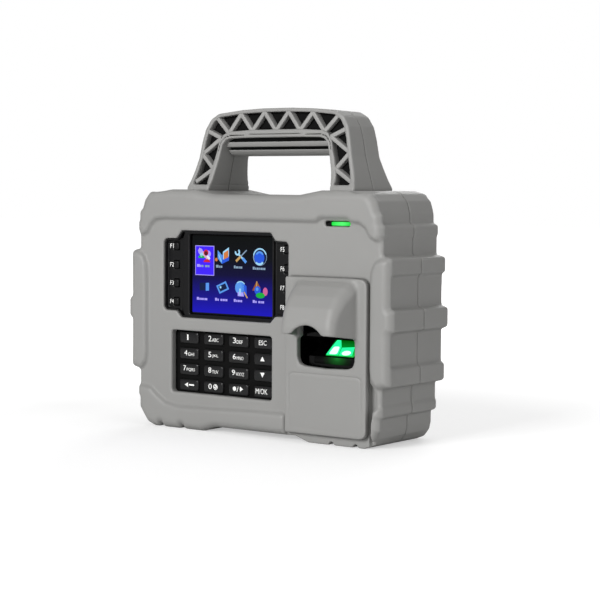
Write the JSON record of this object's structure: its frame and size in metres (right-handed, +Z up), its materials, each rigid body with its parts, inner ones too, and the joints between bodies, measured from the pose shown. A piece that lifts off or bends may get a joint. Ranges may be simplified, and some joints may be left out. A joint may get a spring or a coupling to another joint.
{
  "type": "fingerprint scanner terminal",
  "caption": "Portable fingerprint scanner terminal with trussed carrying handle, colour display, keypad, hooded finger sensor and shock-absorbing case.",
  "frame": {"origin": "bottom centre of the whole object's bounding box, on the plane of the feet", "axes": "-Y is the front, with the display, keypad and finger hood; +X is the viewer's right when facing the front; +Z up"},
  "size_m": [0.226, 0.094, 0.2221],
  "materials": {
    "shell_grey": "soft-touch matt",
    "seal_rubber": "matt",
    "black_plastic": "semi-gloss",
    "key_rubber": "satin",
    "lens_glass": "polished, black behind",
    "green_glass": "polished, lit green from behind",
    "circuit_board": "solder-masked laminate",
    "battery_wrap": "shrink film",
    "steel": "plated"
  },
  "bodies": {
    "terminal": {"front_shell": "shell_grey", "rear_shell": "shell_grey", "case_seal": "seal_rubber", "handle_front": "shell_grey", "handle_rear": "shell_grey", "handle_core": "black_plastic", "grip_pad": "shell_grey", "display_bezel": "black_plastic", "display_lens": "lens_glass", "display_module": "black_plastic", "function_board_left": "circuit_board", "function_board_right": "circuit_board", "keypad_plate": "black_plastic", "keypad_board": "circuit_board", "scanner_panel": "shell_grey", "sensor_well": "black_plastic", "sensor_prism": "green_glass", "sensor_board": "circuit_board", "indicator_lens": "green_glass", "usb_socket": "steel", "charge_socket": "steel", "main_board": "circuit_board", "battery_pack": "battery_wrap", "speaker": "black_plastic", "radio_module": "steel", "case_screw_1": "steel", "case_screw_2": "steel", "case_screw_3": "steel", "case_screw_4": "steel", "case_screw_5": "steel", "case_screw_6": "steel"},
    "f1_key_cap": {"f1_key": "key_rubber"},
    "f2_key_cap": {"f2_key": "key_rubber"},
    "f3_key_cap": {"f3_key": "key_rubber"},
    "f4_key_cap": {"f4_key": "key_rubber"},
    "f5_key_cap": {"f5_key": "key_rubber"},
    "f6_key_cap": {"f6_key": "key_rubber"},
    "f7_key_cap": {"f7_key": "key_rubber"},
    "f8_key_cap": {"f8_key": "key_rubber"},
    "key_1_cap": {"key_1": "key_rubber"},
    "key_2_cap": {"key_2": "key_rubber"},
    "key_3_cap": {"key_3": "key_rubber"},
    "key_esc_cap": {"key_esc": "key_rubber"},
    "key_4_cap": {"key_4": "key_rubber"},
    "key_5_cap": {"key_5": "key_rubber"},
    "key_6_cap": {"key_6": "key_rubber"},
    "key_up_cap": {"key_up": "key_rubber"},
    "key_7_cap": {"key_7": "key_rubber"},
    "key_8_cap": {"key_8": "key_rubber"},
    "key_9_cap": {"key_9": "key_rubber"},
    "key_down_cap": {"key_down": "key_rubber"},
    "key_back_cap": {"key_back": "key_rubber"},
    "key_0_cap": {"key_0": "key_rubber"},
    "key_next_cap": {"key_next": "key_rubber"},
    "key_menu_cap": {"key_menu": "key_rubber"},
    "power_cap": {"power_button": "key_rubber"},
    "port_flap": {"port_cover": "seal_rubber"}
  },
  "joints": [
    {"name": "f1_key_cap_press", "type": "slide", "parent": "terminal", "child": "f1_key_cap", "axis": [0, 1, 0], "range_m": [0, 0.0006], "stiffness_N_per_m": 900, "springref_m": -0.0006},
    {"name": "f2_key_cap_press", "type": "slide", "parent": "terminal", "child": "f2_key_cap", "axis": [0, 1, 0], "range_m": [0, 0.0006], "stiffness_N_per_m": 900, "springref_m": -0.0006},
    {"name": "f3_key_cap_press", "type": "slide", "parent": "terminal", "child": "f3_key_cap", "axis": [0, 1, 0], "range_m": [0, 0.0006], "stiffness_N_per_m": 900, "springref_m": -0.0006},
    {"name": "f4_key_cap_press", "type": "slide", "parent": "terminal", "child": "f4_key_cap", "axis": [0, 1, 0], "range_m": [0, 0.0006], "stiffness_N_per_m": 900, "springref_m": -0.0006},
    {"name": "f5_key_cap_press", "type": "slide", "parent": "terminal", "child": "f5_key_cap", "axis": [0, 1, 0], "range_m": [0, 0.0006], "stiffness_N_per_m": 900, "springref_m": -0.0006},
    {"name": "f6_key_cap_press", "type": "slide", "parent": "terminal", "child": "f6_key_cap", "axis": [0, 1, 0], "range_m": [0, 0.0006], "stiffness_N_per_m": 900, "springref_m": -0.0006},
    {"name": "f7_key_cap_press", "type": "slide", "parent": "terminal", "child": "f7_key_cap", "axis": [0, 1, 0], "range_m": [0, 0.0006], "stiffness_N_per_m": 900, "springref_m": -0.0006},
    {"name": "f8_key_cap_press", "type": "slide", "parent": "terminal", "child": "f8_key_cap", "axis": [0, 1, 0], "range_m": [0, 0.0006], "stiffness_N_per_m": 900, "springref_m": -0.0006},
    {"name": "key_1_cap_press", "type": "slide", "parent": "terminal", "child": "key_1_cap", "axis": [0, 1, 0], "range_m": [0, 0.0009], "stiffness_N_per_m": 700, "springref_m": -0.0009},
    {"name": "key_2_cap_press", "type": "slide", "parent": "terminal", "child": "key_2_cap", "axis": [0, 1, 0], "range_m": [0, 0.0009], "stiffness_N_per_m": 700, "springref_m": -0.0009},
    {"name": "key_3_cap_press", "type": "slide", "parent": "terminal", "child": "key_3_cap", "axis": [0, 1, 0], "range_m": [0, 0.0009], "stiffness_N_per_m": 700, "springref_m": -0.0009},
    {"name": "key_esc_cap_press", "type": "slide", "parent": "terminal", "child": "key_esc_cap", "axis": [0, 1, 0], "range_m": [0, 0.0009], "stiffness_N_per_m": 700, "springref_m": -0.0009},
    {"name": "key_4_cap_press", "type": "slide", "parent": "terminal", "child": "key_4_cap", "axis": [0, 1, 0], "range_m": [0, 0.0009], "stiffness_N_per_m": 700, "springref_m": -0.0009},
    {"name": "key_5_cap_press", "type": "slide", "parent": "terminal", "child": "key_5_cap", "axis": [0, 1, 0], "range_m": [0, 0.0009], "stiffness_N_per_m": 700, "springref_m": -0.0009},
    {"name": "key_6_cap_press", "type": "slide", "parent": "terminal", "child": "key_6_cap", "axis": [0, 1, 0], "range_m": [0, 0.0009], "stiffness_N_per_m": 700, "springref_m": -0.0009},
    {"name": "key_up_cap_press", "type": "slide", "parent": "terminal", "child": "key_up_cap", "axis": [0, 1, 0], "range_m": [0, 0.0009], "stiffness_N_per_m": 700, "springref_m": -0.0009},
    {"name": "key_7_cap_press", "type": "slide", "parent": "terminal", "child": "key_7_cap", "axis": [0, 1, 0], "range_m": [0, 0.0009], "stiffness_N_per_m": 700, "springref_m": -0.0009},
    {"name": "key_8_cap_press", "type": "slide", "parent": "terminal", "child": "key_8_cap", "axis": [0, 1, 0], "range_m": [0, 0.0009], "stiffness_N_per_m": 700, "springref_m": -0.0009},
    {"name": "key_9_cap_press", "type": "slide", "parent": "terminal", "child": "key_9_cap", "axis": [0, 1, 0], "range_m": [0, 0.0009], "stiffness_N_per_m": 700, "springref_m": -0.0009},
    {"name": "key_down_cap_press", "type": "slide", "parent": "terminal", "child": "key_down_cap", "axis": [0, 1, 0], "range_m": [0, 0.0009], "stiffness_N_per_m": 700, "springref_m": -0.0009},
    {"name": "key_back_cap_press", "type": "slide", "parent": "terminal", "child": "key_back_cap", "axis": [0, 1, 0], "range_m": [0, 0.0009], "stiffness_N_per_m": 700, "springref_m": -0.0009},
    {"name": "key_0_cap_press", "type": "slide", "parent": "terminal", "child": "key_0_cap", "axis": [0, 1, 0], "range_m": [0, 0.0009], "stiffness_N_per_m": 700, "springref_m": -0.0009},
    {"name": "key_next_cap_press", "type": "slide", "parent": "terminal", "child": "key_next_cap", "axis": [0, 1, 0], "range_m": [0, 0.0009], "stiffness_N_per_m": 700, "springref_m": -0.0009},
    {"name": "key_menu_cap_press", "type": "slide", "parent": "terminal", "child": "key_menu_cap", "axis": [0, 1, 0], "range_m": [0, 0.0009], "stiffness_N_per_m": 700, "springref_m": -0.0009},
    {"name": "power_cap_press", "type": "slide", "parent": "terminal", "child": "power_cap", "axis": [0, -1, 0], "range_m": [0, 0.0008], "stiffness_N_per_m": 900, "springref_m": -0.0008},
    {"name": "port_flap_hinge", "type": "hinge", "parent": "terminal", "child": "port_flap", "pos_m": [0, 0.0464, 0.0316], "axis": [-1, 0, 0], "range_deg": [0, 120]}
  ]
}
